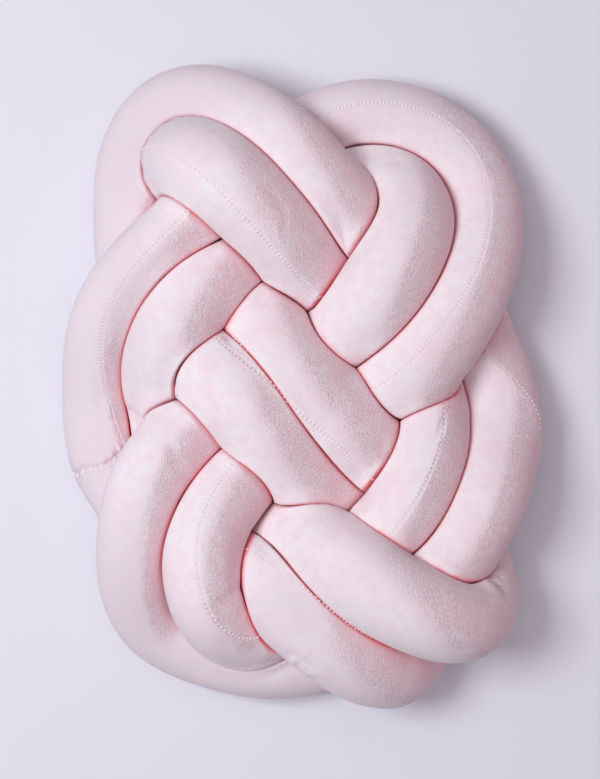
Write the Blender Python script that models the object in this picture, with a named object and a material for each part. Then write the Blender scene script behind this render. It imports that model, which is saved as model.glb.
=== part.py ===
"""Knot cushion: one long stuffed velvet tube, woven into a flat doubled knot, its two ends sewn together.

Metres, +Z up. The cushion lies on its back on Z = 0, its long side along Y, with the middle of its
footprint at the origin. The tube is one closed strand, so the whole cushion is one solid. The strand's
route is the table below: it follows the strand all the way round, a row for each bend and crossing.
Where two passes of the strand meet, each gives way half of the overlap, as two stuffed tubes do.
"""

import bpy
import numpy as np

MM = 0.001

TUBE_RADIUS = 27.0 * MM      # stuffed tube, where nothing presses it
SWELL_LIMIT = 1.05           # how much a squeezed stretch may fatten, times its radius
AIR_GAP = 2.4 * MM           # left between two passes, so that the solid never touches itself
EDGE_SHARPNESS = 14.0        # how tightly the skin turns from its round side to a pressed side
THINNEST = 8.0 * MM          # least distance from the middle of the tube to its skin
SKIN_FAIRING = 2             # rounds of smoothing of the skin

BEND_START = 30.0 * MM       # along the strand: closer than this, a section ignores its neighbours
BEND_END = 70.0 * MM         # and from here on it keeps the whole air gap to them
SAME_SECTION = 6.0 * MM      # points this close along the strand belong to the section itself

RINGS = 310                  # sections along the strand
SIDES = 18                   # points around a section
ROUTE_STEPS = 900            # points of the smooth route that the sections are pressed against

VELVET_COLOUR = (0.86, 0.70, 0.74, 1.0)
VELVET_ROUGHNESS = 0.92

# The strand's middle line, in millimetres: pass of the strand, x, y, height above the surface, and the
# tube's girth there as a share of its nominal one. Passes named "under" run below the visible ones.
ROUTE_COLUMNS = ("stretch", "x", "y", "height", "girth")
ROUTE = (
    ("left outer bend", -134, -59, 21, 0.91),
    ("left outer bend", -142, -10, 24, 0.91),
    ("left outer bend", -130, 52, 52, 0.93),
    ("left outer bend", -79, 107, 58, 0.94),
    ("under top bends", -30, 147, 26, 1.00),
    ("top right outer bend", 26, 186, 21, 0.95),
    ("top right outer bend", 93, 177, 21, 0.95),
    ("top right outer bend", 126, 134, 25, 0.95),
    ("top right outer bend", 117, 69, 54, 0.99),
    ("top right outer bend", 67, 3, 49, 1.08),
    ("under centre pair", 37, -8, 21, 1.00),
    ("under centre pair", 4, -30, 21, 1.00),
    ("under centre pair", -25, -47, 25, 1.00),
    ("lower left inner bend", -41, -63, 50, 0.97),
    ("lower left inner bend", -63, -96, 68, 0.97),
    ("lower left inner bend", -65, -144, 69, 1.01),
    ("lower left inner bend", -45, -166, 50, 0.99),
    ("lower left inner bend", -19, -162, 36, 0.97),
    ("under lower diagonals", 14, -137, 27, 1.00),
    ("right inner rise", 65, -92, 60, 0.98),
    ("right inner rise", 90, -36, 52, 0.99),
    ("right inner rise", 86, -12, 34, 1.06),
    ("under top right bends", 71, 37, 21, 1.00),
    ("top left inner bend", 22, 71, 28, 1.12),
    ("top left inner bend", -16, 106, 68, 1.06),
    ("top left inner bend", -56, 142, 77, 1.06),
    ("top left inner bend", -77, 154, 55, 1.04),
    ("under left bends", -81, 145, 30, 1.00),
    ("under left bends", -81, 125, 21, 1.00),
    ("under left bends", -74, 77, 21, 1.00),
    ("under left bends", -46, 55, 21, 1.00),
    ("centre right", -30, 50, 29, 1.12),
    ("centre right", -5, 16, 59, 1.08),
    ("centre right", 29, -22, 55, 1.08),
    ("centre right", 59, -49, 33, 1.12),
    ("under right rises", 85, -68, 21, 1.00),
    ("upper diagonal", 122, -134, 31, 0.95),
    ("upper diagonal", 103, -160, 75, 1.03),
    ("upper diagonal", 29, -121, 81, 1.06),
    ("upper diagonal", -24, -95, 28, 0.99),
    ("under lower left bends", -85, -58, 21, 1.00),
    ("left inner bend", -95, -18, 23, 1.00),
    ("left inner bend", -94, 16, 51, 1.00),
    ("left inner bend", -71, 59, 66, 1.04),
    ("under top left pair", -26, 101, 27, 1.00),
    ("under top left pair", 8, 130, 21, 1.00),
    ("top right inner bend", 50, 142, 20, 1.00),
    ("top right inner bend", 79, 120, 48, 1.04),
    ("top right inner bend", 56, 66, 67, 1.06),
    ("under centre right", 14, 24, 30, 1.00),
    ("under centre left", -35, -7, 20, 1.00),
    ("lower left outer bend", -82, -36, 56, 0.95),
    ("lower left outer bend", -106, -69, 65, 0.95),
    ("lower left outer bend", -116, -131, 43, 0.93),
    ("lower left outer bend", -94, -173, 22, 0.93),
    ("lower left outer bend", -24, -192, 22, 0.95),
    ("under lower diagonals", 20, -183, 20, 1.00),
    ("under lower diagonals", 63, -146, 47, 1.00),
    ("right outer rise", 100, -118, 59, 0.95),
    ("right outer rise", 126, -81, 54, 0.97),
    ("right outer rise", 137, -46, 36, 0.99),
    ("right outer rise", 139, -6, 21, 0.97),
    ("under top right outer bend", 107, 56, 21, 1.00),
    ("under top right inner bend", 74, 84, 21, 1.00),
    ("top left outer bend", 39, 108, 42, 0.99),
    ("top left outer bend", 1, 152, 62, 0.99),
    ("top left outer bend", -63, 196, 41, 0.95),
    ("top left outer bend", -108, 176, 27, 0.94),
    ("under left bends", -113, 76, 21, 1.00),
    ("under left bends", -96, 43, 21, 1.00),
    ("centre left", -70, 17, 51, 1.04),
    ("centre left", -29, -16, 69, 1.04),
    ("centre left", 20, -72, 36, 1.02),
    ("under upper diagonal", 49, -89, 21, 1.00),
    ("under upper diagonal", 87, -143, 21, 1.00),
    ("lower diagonal", 77, -184, 26, 0.96),
    ("lower diagonal", 52, -194, 52, 1.00),
    ("lower diagonal", 3, -159, 73, 1.02),
    ("lower diagonal", -22, -133, 59, 0.98),
    ("under lower left bends", -74, -114, 26, 1.00),
)


def clear_scene():
    """Remove every object, so that the script starts from nothing."""
    for obj in list(bpy.data.objects):
        bpy.data.objects.remove(obj, do_unlink=True)


def new_collection(name):
    """A collection linked to the scene."""
    collection = bpy.data.collections.new(name)
    bpy.context.scene.collection.children.link(collection)
    return collection


def velvet_material():
    """Plain colour and roughness of the velvet skin."""
    material = bpy.data.materials.new("pink_velvet")
    material.use_nodes = True
    shader = material.node_tree.nodes["Principled BSDF"]
    shader.inputs["Base Color"].default_value = VELVET_COLOUR
    shader.inputs["Roughness"].default_value = VELVET_ROUGHNESS
    shader.inputs["Metallic"].default_value = 0.0
    return material


def loop_spline(knots, values, places):
    """Smooth cubic through values at the knots, periodic: the last knot is the first one again."""
    span = np.diff(knots)
    slope = np.diff(values, axis=0) / span[:, None]
    count = len(span)
    rows = np.arange(count)
    before = (rows - 1) % count
    system = np.zeros((count, count))
    system[rows, rows] += 2.0 * (span[before] + span)
    system[rows, before] += span[before]
    system[rows, (rows + 1) % count] += span
    bend = np.linalg.solve(system, 6.0 * (slope - slope[before]))
    bend = np.vstack([bend, bend[:1]])
    piece = np.clip(np.searchsorted(knots, places, side="right") - 1, 0, count - 1)
    step = (places - knots[piece])[:, None]
    width = span[piece][:, None]
    first = slope[piece] - width * (2.0 * bend[piece] + bend[piece + 1]) / 6.0
    cubic = (bend[piece + 1] - bend[piece]) / (6.0 * width)
    return values[piece] + step * (first + step * (bend[piece] / 2.0 + step * cubic))


def strand(count):
    """The strand's middle line as evenly spaced points, its girth at each, and its length."""
    table = np.array([row[1:] for row in ROUTE], dtype=float)
    points = np.column_stack([table[:, :3] * MM, table[:, 3]])
    closed = np.vstack([points, points[:1]])
    reach = np.linalg.norm(np.diff(closed[:, :3], axis=0), axis=1)
    knots = np.concatenate([[0.0], np.cumsum(np.sqrt(reach))])
    fine = loop_spline(knots, closed, np.linspace(0.0, knots[-1], 8 * count + 1))
    run = np.linalg.norm(np.diff(fine[:, :3], axis=0), axis=1)
    along = np.concatenate([[0.0], np.cumsum(run)])
    wanted = np.linspace(0.0, along[-1], count, endpoint=False)
    even = np.column_stack([np.interp(wanted, along, fine[:, axis]) for axis in range(4)])
    return even[:, :3], even[:, 3], along[-1]


def tube_curve(middle):
    """The round tube, before anything presses it: a closed bevelled curve."""
    curve = bpy.data.curves.new("strand", "CURVE")
    curve.dimensions = "3D"
    curve.twist_mode = "MINIMUM"
    curve.bevel_depth = TUBE_RADIUS
    curve.bevel_resolution = SIDES // 2 - 2
    line = curve.splines.new("POLY")
    line.points.add(len(middle) - 1)
    for point, place in zip(line.points, middle):
        point.co = (place[0], place[1], place[2], 1.0)
    line.use_cyclic_u = True
    return bpy.data.objects.new("strand", curve)


def round_skin(middle):
    """The round tube as a mesh, its curve removed again."""
    guide = tube_curve(middle)
    bpy.context.scene.collection.objects.link(guide)
    graph = bpy.context.evaluated_depsgraph_get()
    mesh = bpy.data.meshes.new_from_object(guide.evaluated_get(graph))
    curve = guide.data
    bpy.data.objects.remove(guide, do_unlink=True)
    bpy.data.curves.remove(curve)
    return mesh


def room_around(middle, length, spokes):
    """How far each spoke of each section may reach before it meets another pass of the strand."""
    route, _, _ = strand(ROUTE_STEPS)
    route_place = np.arange(ROUTE_STEPS) * length / ROUTE_STEPS
    room = np.empty(spokes.shape[:2])
    for ring, centre in enumerate(middle):
        offset = route - centre
        apart = np.abs(route_place - ring * length / len(middle))
        apart = np.minimum(apart, length - apart)
        near = (np.linalg.norm(offset, axis=1) < 4.0 * TUBE_RADIUS) & (apart > SAME_SECTION)
        offset = offset[near]
        gap = AIR_GAP * np.clip((apart[near] - BEND_START) / (BEND_END - BEND_START), 0.0, 1.0)
        toward = spokes[ring] @ offset.T + gap
        halfway = (np.sum(offset ** 2, axis=1) - gap ** 2) / (2.0 * np.maximum(toward, 1e-9))
        room[ring] = np.where(toward > 1e-9, halfway, np.inf).min(axis=1)
    return np.maximum(room, THINNEST)


def soft_reach(radius, room):
    """The skin's distance from the middle: round, easing to flat where its room ends."""
    power = EDGE_SHARPNESS
    return (radius[:, None] ** -power + room ** -power) ** (-1.0 / power)


def faired(values):
    """The values averaged with their neighbours around the section and along the strand."""
    values = (np.roll(values, 1, axis=0) + 2.0 * values + np.roll(values, -1, axis=0)) / 4.0
    return (np.roll(values, 1, axis=1) + 2.0 * values + np.roll(values, -1, axis=1)) / 4.0


def pressed(middle, girth, length, spokes):
    """The skin's distance along each spoke, with the stuffing of a squeezed section kept in it."""
    room = room_around(middle, length, spokes)
    radius = TUBE_RADIUS * girth
    reach = soft_reach(radius, room)
    squeezed = radius / np.sqrt(np.mean(reach ** 2, axis=1))
    radius = radius * np.clip(squeezed, 1.0, SWELL_LIMIT)
    reach = soft_reach(radius, room)
    for _ in range(SKIN_FAIRING):
        reach = np.minimum(faired(reach), room)
    return reach


def centred(skin):
    """The skin moved sideways, so that the middle of its footprint is at the origin."""
    shift = (skin.min(axis=(0, 1)) + skin.max(axis=(0, 1))) / 2.0
    shift[2] = 0.0
    return skin - shift


def knotted_tube():
    """The cushion: the round skin, each point moved along its spoke to the pressed skin."""
    middle, girth, length = strand(RINGS)
    mesh = round_skin(middle)
    flat = np.empty(3 * len(mesh.vertices))
    mesh.vertices.foreach_get("co", flat)
    spokes = flat.reshape(RINGS, SIDES, 3) - middle[:, None]
    spokes /= np.linalg.norm(spokes, axis=2, keepdims=True)
    skin = middle[:, None] + pressed(middle, girth, length, spokes)[:, :, None] * spokes
    skin[:, :, 2] = np.maximum(skin[:, :, 2], 0.0)
    mesh.vertices.foreach_set("co", centred(skin).ravel())
    mesh.update()
    mesh.shade_smooth()
    return bpy.data.objects.new("knotted_tube", mesh)


def build():
    """Make the cushion."""
    clear_scene()
    cushion = knotted_tube()
    cushion.data.materials.append(velvet_material())
    new_collection("knot_cushion").objects.link(cushion)


build()
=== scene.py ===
# %% [markdown]
# # A knot cushion in velvet
#
# The real cushion is one long velvet tube, stuffed with fibre and woven into a flat doubled knot. Its two
# ends are sewn together, so the tube has no end. We load the plain solid that gives the cushion its place,
# size and weight, and dress it: a fine skin that presses against itself, a sewn seam that wanders along
# it, folds, a stitched ring where the ends meet, and a velvet that catches the light.

import math

import bpy
import numpy as np
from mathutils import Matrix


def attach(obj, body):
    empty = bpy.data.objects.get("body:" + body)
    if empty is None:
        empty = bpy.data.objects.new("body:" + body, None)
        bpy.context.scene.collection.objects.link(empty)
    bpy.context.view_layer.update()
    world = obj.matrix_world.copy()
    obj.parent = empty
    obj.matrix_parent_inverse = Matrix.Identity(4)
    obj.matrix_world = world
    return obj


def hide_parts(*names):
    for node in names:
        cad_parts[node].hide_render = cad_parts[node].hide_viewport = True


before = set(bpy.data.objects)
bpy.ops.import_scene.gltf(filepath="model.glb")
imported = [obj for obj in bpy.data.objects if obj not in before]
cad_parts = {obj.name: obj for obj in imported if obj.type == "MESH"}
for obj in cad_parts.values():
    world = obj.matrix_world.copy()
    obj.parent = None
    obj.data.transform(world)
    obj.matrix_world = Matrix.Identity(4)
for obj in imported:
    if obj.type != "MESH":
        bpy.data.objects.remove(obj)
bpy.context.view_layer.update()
SOLID_NODE = "knotted_tube"
MM = 0.001

# %% [markdown]
# ## The camera
#
# The cushion lies on its back and we look straight down at it from standing height. The lens is set by
# how many millimetres of cushion one point of the view covers at the height of its visible skin.

# %% Camera straight above
VIEW_HEIGHT = 779               # points of the view from top to bottom
POINT_SIZE = 0.69 * MM          # what one point covers at SKIN_HEIGHT
SKIN_HEIGHT = 45 * MM           # usual height of the skin that shows
EYE_HEIGHT = 1.5
AIM = (-1.0 * MM, -2.6 * MM)    # the place on the cushion in the middle of the view
SENSOR = 36.0


def look_down():
    """A camera above the cushion, with the long side of the cushion upright in the view."""
    data = bpy.data.cameras.new("overhead")
    data.sensor_fit = "VERTICAL"
    data.sensor_height = SENSOR
    data.lens = SENSOR * (EYE_HEIGHT - SKIN_HEIGHT) / (POINT_SIZE * VIEW_HEIGHT)
    camera = bpy.data.objects.new("overhead", data)
    camera.location = (AIM[0], AIM[1], EYE_HEIGHT)
    bpy.context.scene.collection.objects.link(camera)
    bpy.context.scene.camera = camera
    return camera


camera = look_down()
bpy.context.scene.view_settings.view_transform = "Standard"
print("lens", round(camera.data.lens, 1), "mm at", EYE_HEIGHT, "m")

# %% [markdown]
# ## The route of the tube
#
# Everything hangs on one list: where the middle of the tube runs. It is followed all the way round, a row
# for each bend and crossing, and closes on itself. Besides the place and the girth, each row says where
# the seam is, in degrees from the top of the tube, to the right when walking along it. Rows without one
# are where the tube stands on end and has no top.

# %% Route table
ROUTE = (                       # stretch, x, y and height in mm, girth in tube radii, seam in degrees
    ("left outer bend", -134, -59, 21, 0.91, 45),
    ("left outer bend", -142, -10, 24, 0.91, 27),
    ("left outer bend", -130, 52, 52, 0.93, 2),
    ("left outer bend", -79, 107, 58, 0.94, -12),
    ("under top bends", -30, 147, 26, 1.00, -12),
    ("top right outer bend", 26, 186, 21, 0.95, -10),
    ("top right outer bend", 93, 177, 21, 0.95, -15),
    ("top right outer bend", 126, 134, 25, 0.95, -4),
    ("top right outer bend", 117, 69, 54, 0.99, 7),
    ("top right outer bend", 67, 3, 49, 1.08, 10),
    ("under centre pair", 37, -8, 21, 1.00, 12),
    ("under centre pair", 4, -30, 21, 1.00, 15),
    ("under centre pair", -25, -47, 25, 1.00, 18),
    ("lower left inner bend", -41, -63, 50, 0.97, 20),
    ("lower left inner bend", -62, -96, 68, 0.95, 15),
    ("lower left inner bend", -64, -144, 69, 0.97, -1),
    ("lower left inner bend", -45, -166, 50, 0.99, -6),
    ("lower left inner bend", -19, -162, 36, 0.97, -8),
    ("under lower diagonals", 14, -137, 27, 1.00, -6),
    ("right inner rise", 65, -92, 60, 0.98, 0),
    ("right inner rise", 88, -36, 52, 0.93, 16),
    ("right inner rise", 85, -12, 34, 1.00, 20),
    ("under top right bends", 71, 37, 21, 1.00, 0),
    ("top left inner bend", 22, 71, 28, 1.12, -22),
    ("top left inner bend", -16, 106, 68, 1.06, -25),
    ("top left inner bend", -56, 142, 77, 1.06, -15),
    ("top left inner bend", -77, 154, 58, 1.04, None),
    ("under left bends", -81, 145, 30, 1.00, None),
    ("under left bends", -81, 125, 21, 1.00, None),
    ("under left bends", -74, 77, 21, 1.00, None),
    ("under left bends", -49, 57, 23, 1.00, 60),
    ("centre right", -36, 51, 36, 1.12, 42),
    ("centre right", -10, 12, 59, 1.12, 25),
    ("centre right", 28, -23, 55, 1.12, 27),
    ("centre right", 60, -50, 34, 1.13, 42),
    ("under right rises", 85, -68, 21, 1.00, 100),
    ("upper diagonal", 122, -134, 31, 0.95, None),
    ("upper diagonal", 103, -160, 75, 1.03, 160),
    ("upper diagonal", 29, -121, 81, 1.06, 160),
    ("upper diagonal", -24, -95, 28, 0.99, 150),
    ("under lower left bends", -85, -58, 21, 1.00, 140),
    ("left inner bend", -95, -18, 23, 1.00, 140),
    ("left inner bend", -94, 16, 51, 1.00, 145),
    ("left inner bend", -73, 60, 66, 0.98, 150),
    ("under top left pair", -26, 101, 27, 1.00, 150),
    ("under top left pair", 8, 130, 21, 1.00, 150),
    ("top right inner bend", 48, 141, 24, 1.06, 150),
    ("top right inner bend", 75, 118, 48, 1.03, 150),
    ("top right inner bend", 55, 66, 67, 1.06, 150),
    ("under centre right", 14, 24, 30, 1.00, 150),
    ("under centre left", -35, -7, 20, 1.00, 150),
    ("lower left outer bend", -82, -36, 56, 0.95, 150),
    ("lower left outer bend", -106, -69, 65, 0.95, 150),
    ("lower left outer bend", -115, -131, 43, 0.96, 150),
    ("lower left outer bend", -94, -173, 22, 0.93, 150),
    ("lower left outer bend", -24, -192, 22, 0.95, 150),
    ("under lower diagonals", 20, -183, 20, 1.00, 150),
    ("under lower diagonals", 63, -146, 47, 1.00, 150),
    ("right outer rise", 100, -118, 59, 0.95, 150),
    ("right outer rise", 125, -81, 54, 1.01, 135),
    ("right outer rise", 136, -46, 36, 1.03, 92),
    ("right outer rise", 139, -6, 21, 0.97, 28),
    ("under top right outer bend", 107, 56, 21, 1.00, -40),
    ("under top right inner bend", 74, 84, 21, 1.00, -90),
    ("top left outer bend", 39, 108, 42, 0.99, -130),
    ("top left outer bend", 1, 152, 62, 0.99, -140),
    ("top left outer bend", -63, 196, 41, 0.95, -140),
    ("top left outer bend", -108, 176, 27, 0.94, -140),
    ("under left bends", -113, 76, 21, 1.00, -110),
    ("under left bends", -96, 43, 21, 1.00, -75),
    ("centre left", -71, 18, 51, 1.04, -40),
    ("centre left", -32, -19, 69, 1.04, -48),
    ("centre left", 17, -74, 36, 1.02, -75),
    ("under upper diagonal", 49, -89, 21, 1.00, -100),
    ("under upper diagonal", 87, -143, 21, 1.00, -160),
    ("lower diagonal", 77, -184, 26, 0.96, 130),
    ("lower diagonal", 52, -194, 52, 1.00, 58),
    ("lower diagonal", 3, -159, 73, 1.02, 37),
    ("lower diagonal", -22, -133, 59, 0.98, 25),
    ("under lower left bends", -74, -114, 26, 1.00, 40),
)
STRETCHES = list(dict.fromkeys(row[0] for row in ROUTE))
print(len(ROUTE), "rows in", len(STRETCHES), "stretches")

# %% [markdown]
# ## A smooth middle line
#
# A stuffed tube bends evenly, so the line through the rows is a closed cubic spline: between two rows the
# bend changes steadily, and nowhere is there a kink. Its points are then spread evenly along its length,
# a few millimetres apart, and closer together round the sewn joint, which has finer folds than the rest.

# %% Closed spline
def loop_spline(knots, values, places):
    """Smooth cubic through values at the knots, periodic: the last knot is the first one again."""
    span = np.diff(knots)
    slope = np.diff(values, axis=0) / span[:, None]
    count = len(span)
    rows = np.arange(count)
    before = (rows - 1) % count
    system = np.zeros((count, count))
    system[rows, rows] += 2.0 * (span[before] + span)
    system[rows, before] += span[before]
    system[rows, (rows + 1) % count] += span
    bend = np.linalg.solve(system, 6.0 * (slope - slope[before]))
    bend = np.vstack([bend, bend[:1]])
    piece = np.clip(np.searchsorted(knots, places, side="right") - 1, 0, count - 1)
    step = (places - knots[piece])[:, None]
    width = span[piece][:, None]
    first = slope[piece] - width * (2.0 * bend[piece] + bend[piece + 1]) / 6.0
    cubic = (bend[piece + 1] - bend[piece]) / (6.0 * width)
    return values[piece] + step * (first + step * (bend[piece] / 2.0 + step * cubic))


four_knots = np.array([[0.0], [1.0], [0.0], [-1.0], [0.0]])
halfway = loop_spline(np.arange(5.0), four_knots, np.array([0.5]))
print("a wave through four knots, halfway up:", halfway[0].round(3))

# %% Middle line of the tube
FINE_STEPS = 12000
row_points = np.array([row[1:4] for row in ROUTE], dtype=float) * MM
row_girth = np.array([row[4] for row in ROUTE], dtype=float)
closed_rows = np.vstack([np.column_stack([row_points, row_girth])] * 2)[: len(ROUTE) + 1]
row_reach = np.linalg.norm(np.diff(closed_rows[:, :3], axis=0), axis=1)
row_knots = np.concatenate([[0.0], np.cumsum(np.sqrt(row_reach))])
fine_knots = np.linspace(0.0, row_knots[-1], FINE_STEPS + 1)
fine_line = loop_spline(row_knots, closed_rows, fine_knots)
fine_place = np.concatenate([[0.0], np.cumsum(np.linalg.norm(np.diff(fine_line[:, :3], axis=0), axis=1))])
LENGTH = fine_place[-1]
row_place = np.interp(row_knots[:-1], fine_knots, fine_place)


def line_at(places):
    """Middle line and girth at places along the tube, in metres from its first row."""
    wrapped = np.mod(places, LENGTH)
    return np.column_stack([np.interp(wrapped, fine_place, fine_line[:, axis]) for axis in range(4)])


print("tube length", round(LENGTH, 3), "m")

# %% [markdown]
# ## Folds that a hand could feel
#
# Velvet this tight hardly creases, but a few places do: a curved dent on the broad top bend, a nip at its
# foot, folds that fan out where the top diagonal turns under, and a patch of crushed nap. Each is a line
# seen from above, in millimetres, with a width and a depth. A negative depth is a ridge.

# %% Table of folds
FOLDS = (                       # stretch, width and depth in mm, path as x and y in mm
    ("top left inner bend", 1.7, 1.1, ((-26, 136), (-19.5, 127.5), (-12, 117.5), (-9.5, 110), (-11, 102))),
    ("top left inner bend", 3.0, -0.4, ((-31, 131), (-24.5, 122.5), (-17, 112.5), (-15, 105), (-16, 99))),
    ("top left inner bend", 1.6, 0.7, ((-39, 108.5), (-33.5, 106))),
    ("left outer bend", 1.6, 1.4, ((-80, 131), (-75, 125), (-71, 119.5))),
    ("left outer bend", 2.2, 1.3, ((-133, -21.5), (-124, -22.8), (-114, -25))),
    ("left outer bend", 3.5, 0.8, ((-138, -6), (-138.5, -18), (-136, -30))),
    ("upper diagonal", 1.7, 2.6, ((122, -124), (128, -124.5), (134, -123), (138, -124.5))),
    ("upper diagonal", 1.7, 2.8, ((120, -127), (126.7, -128.8), (134, -128.2), (138, -131))),
    ("upper diagonal", 1.8, 2.4, ((126, -131), (131.5, -133), (137.5, -139), (139.5, -144))),
    ("upper diagonal", 4.0, -1.6, ((123, -131), (130, -136.5), (135, -141))),
    ("lower left inner bend", 5.0, 1.3, ((-39, -134.5), (-43.4, -137), (-50.8, -143), (-58, -148.5))),
    ("lower left inner bend", 3.0, -0.6, ((-43, -131), (-52, -138), (-60, -143))),
    ("lower left inner bend", 1.8, 0.7, ((-55, -170), (-51, -175), (-49, -179))),
    ("lower diagonal", 1.6, 1.6, ((-12, -184), (-7, -179.5), (-2.5, -182), (-2, -186))),
    ("lower diagonal", 1.6, -1.1, ((-9, -188), (-5, -184), (-1, -187), (1, -191))),
    ("lower diagonal", 1.6, 1.6, ((-5, -192), (-1.6, -186.5), (3.1, -184), (5.5, -189), (9, -191))),
    ("lower diagonal", 1.8, -1.1, ((1, -196), (6, -192), (12, -193))),
    ("top right outer bend", 2.0, 1.2, ((36, 167), (44, 165.5), (56, 163.5))),
    ("top right inner bend", 2.4, 1.0, ((52, 150), (60, 154.5), (69, 154))),
    ("lower left outer bend", 4.5, 1.0, ((-92, -36), (-84, -48), (-79, -57))),
    ("centre right", 4.0, 0.9, ((52, -36), (57, -44), (61, -54))),
    ("right inner rise", 3.0, 0.8, ((97, -20), (93, -30), (90, -34))),
)
print(len(FOLDS), "folds")

# %% [markdown]
# ## Rings of points along the line
#
# The skin is made of rings of points. Where the tube is hidden under other passes they can be wide apart.
# They are closer on the open stretches, and closest at the folds and at the sewn joint.

# %% Where stretches and folds lie
STRETCH_MARGIN = 25 * MM        # turns into a stretch and out of it
stretch_names = [row[0] for row in ROUTE]


def on_stretch(name, places):
    """Which places lie on a named stretch, with the turns into it and out of it."""
    rows = [row for row, found in enumerate(stretch_names) if found == name]
    start, end = row_place[rows[0]] - STRETCH_MARGIN, row_place[rows[-1]] + STRETCH_MARGIN
    return np.mod(places - start, LENGTH) <= end - start


def fold_places(name, path):
    """First and last place of a fold along the tube."""
    usable = np.flatnonzero(on_stretch(name, fine_place[:-1]))
    found = []
    for x, y in path:
        away = np.hypot(fine_line[usable, 0] - x * MM, fine_line[usable, 1] - y * MM)
        found.append(fine_place[usable[np.argmin(away)]])
    return min(found), max(found)


fold_spans = [fold_places(name, path) for name, width, depth, path in FOLDS]
print("folds from", round(min(fold_spans)[0], 3), "to", round(max(fold_spans)[1], 3), "m along the tube")

# %% Ease from nothing to full
def eased(amount):
    """From 0 to 1 without a kink at either end."""
    amount = np.clip(amount, 0.0, 1.0)
    return amount * amount * (3.0 - 2.0 * amount)


print("a quarter of the way, eased:", round(float(eased(0.25)), 3))

# %% Rings along the tube
COVERED_STEP = 5.6 * MM
OPEN_STEP = 3.5 * MM
FOLD_STEP = 1.7 * MM
FOLD_REACH = 5 * MM             # full closeness this far beyond a fold
FOLD_FADE = 3 * FOLD_REACH      # and none of it after this much more
JOINT_STEP = 1.0 * MM
JOINT_PLACE = 6.5 * MM          # along the tube, where its two ends are sewn together
JOINT_REACH = 16 * MM
JOINT_CORE = 1.5                # how far closeness spreads from the joint, in reaches


def ring_places():
    """Places of the rings, as close together as each part of the tube asks."""
    places = np.linspace(0.0, LENGTH, FINE_STEPS + 1)
    row_step = [COVERED_STEP if name.startswith("under") else OPEN_STEP for name in stretch_names]
    density = 1.0 / np.interp(places, np.append(row_place, LENGTH), row_step + row_step[:1])
    for start, end in fold_spans:
        outside = np.maximum(start - places, places - end)
        density = np.maximum(density, eased(1.0 - (outside - FOLD_REACH) / FOLD_FADE) / FOLD_STEP)
    away = np.abs(places - JOINT_PLACE)
    away = np.minimum(away, LENGTH - away)
    density = np.maximum(density, eased(JOINT_CORE - away / JOINT_REACH) / JOINT_STEP)
    middle_density = (density[1:] + density[:-1]) / 2.0
    rings = np.concatenate([[0.0], np.cumsum(middle_density * np.diff(places))])
    count = int(round(rings[-1]))
    return np.interp(np.arange(count) * rings[-1] / count, rings, places)


place = ring_places()
RINGS = len(place)
line = line_at(place)
middle, girth = line[:, :3], line[:, 3]
print(RINGS, "rings")

# %% [markdown]
# ## Which way is up on a tube
#
# To know where round the tube something sits, each ring needs a zero direction. One is carried along the
# line without turning, ring to ring, and what is left over after the whole round is shared out evenly.
# The seam's angles from the table are then turned into angles from that carried direction, and smoothed.

# %% Directions carried along the line
UPWARD = np.array((0.0, 0.0, 1.0))


def unit(vectors):
    """Vectors of length one."""
    return vectors / np.linalg.norm(vectors, axis=-1, keepdims=True)


def turned(vectors, axes, angles):
    """Vectors turned about their axes, which they stand square on."""
    return np.cos(angles)[..., None] * vectors + np.sin(angles)[..., None] * np.cross(axes, vectors)


def carried_directions(points):
    """Along-the-line directions, and cross directions that don't twist from ring to ring."""
    along = unit(np.roll(points, -1, axis=0) - np.roll(points, 1, axis=0))
    cross = np.empty_like(along)
    cross[0] = unit(np.cross(along[0], UPWARD))
    for ring in range(1, len(along)):
        cross[ring] = unit(cross[ring - 1] - along[ring] * (cross[ring - 1] @ along[ring]))
    last = unit(cross[-1] - along[0] * (cross[-1] @ along[0]))
    left_over = math.atan2(np.cross(cross[0], last) @ along[0], cross[0] @ last)
    share = -left_over * np.arange(len(along)) / len(along)
    return along, turned(cross, along, share)


along, cross = carried_directions(middle)
print("the first direction across the tube is", cross[0].round(2))

# %% Seam round the tube
def known_seam():
    """Places and angles of the seam, from the rows of the table that give one."""
    known = []
    for row, at in zip(ROUTE, row_place):
        if row[5] is None:
            continue
        ring = int(np.argmin(np.abs(place - at)))
        up = unit(UPWARD - along[ring] * along[ring][2])
        right = np.cross(along[ring], up)
        seam = math.cos(math.radians(row[5])) * up + math.sin(math.radians(row[5])) * right
        side = np.cross(along[ring], cross[ring])
        known.append((at, math.atan2(seam @ side, seam @ cross[ring])))
    return [at for at, angle in known], [angle for at, angle in known]


def seam_angles():
    """Angle of the seam from the carried direction, at each ring."""
    known_place, known_angle = known_seam()
    known = np.unwrap(np.array(known_angle + known_angle[:1]))
    closing = known[-1] - known[0]
    knots = np.array(known_place + [known_place[0] + LENGTH])
    level = known - closing * (knots - knots[0]) / LENGTH
    onward = np.mod(place - knots[0], LENGTH)
    smooth = loop_spline(knots, level[:, None], knots[0] + onward)[:, 0]
    straight = np.interp(knots[0] + onward, knots, level)
    return 0.5 * smooth + 0.5 * straight + closing * onward / LENGTH


seam_turn = seam_angles()
seam_direction = turned(cross, along, seam_turn)
print("the seam turns", round(math.degrees(seam_turn.max() - seam_turn.min())), "degrees in all")

# %% [markdown]
# ## The pressed skin
#
# Each ring sends out spokes. Alone, a spoke would end at the tube's radius. Where another pass of the tube
# is in the way, both give up part of the overlap, so the spoke ends between them and the two skins lie
# against each other. A fuller stretch takes more of the room than a slack one.

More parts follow.
